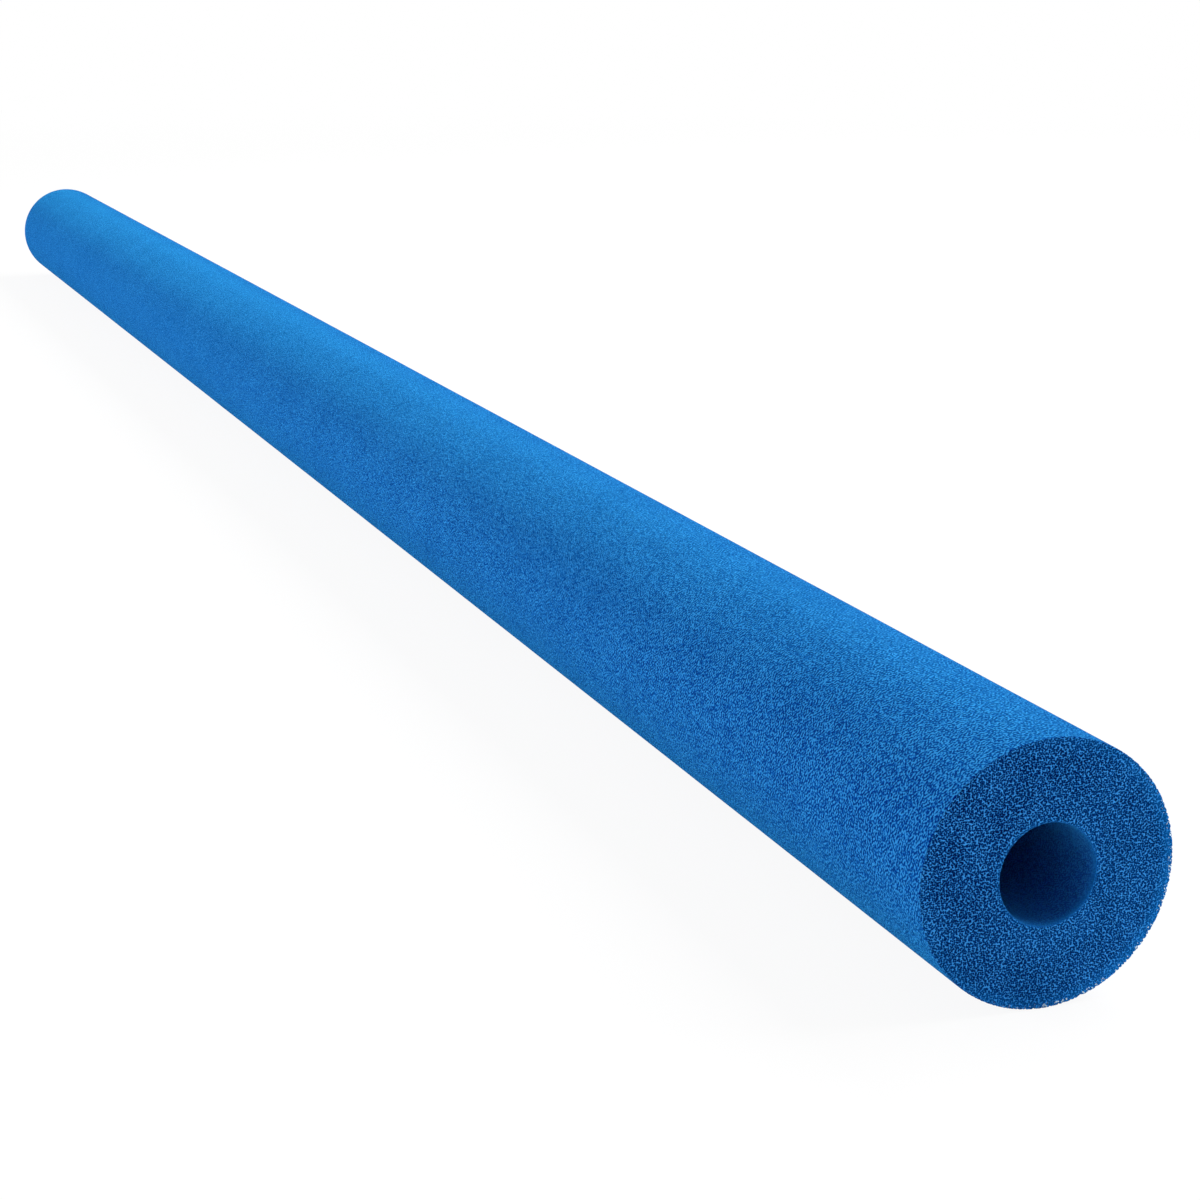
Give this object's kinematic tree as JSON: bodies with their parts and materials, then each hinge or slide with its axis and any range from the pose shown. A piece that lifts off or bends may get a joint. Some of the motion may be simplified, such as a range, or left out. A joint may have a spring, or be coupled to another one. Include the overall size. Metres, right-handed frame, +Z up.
{
  "type": "pool noodle",
  "caption": "Straight round foam pool noodle with a bore right through it: a float to hold, lie on or thread on a rope.",
  "frame": {"origin": "on the ground under the middle of the tube: the centre of the bottom of its box", "axes": "+X along the tube, towards the end that is near in the picture; +Y across it; +Z up"},
  "size_m": [1.5, 0.065, 0.065],
  "materials": {
    "blue_foam": "matte"
  },
  "bodies": {
    "root": {"foam_tube": "blue_foam"}
  },
  "joints": []
}
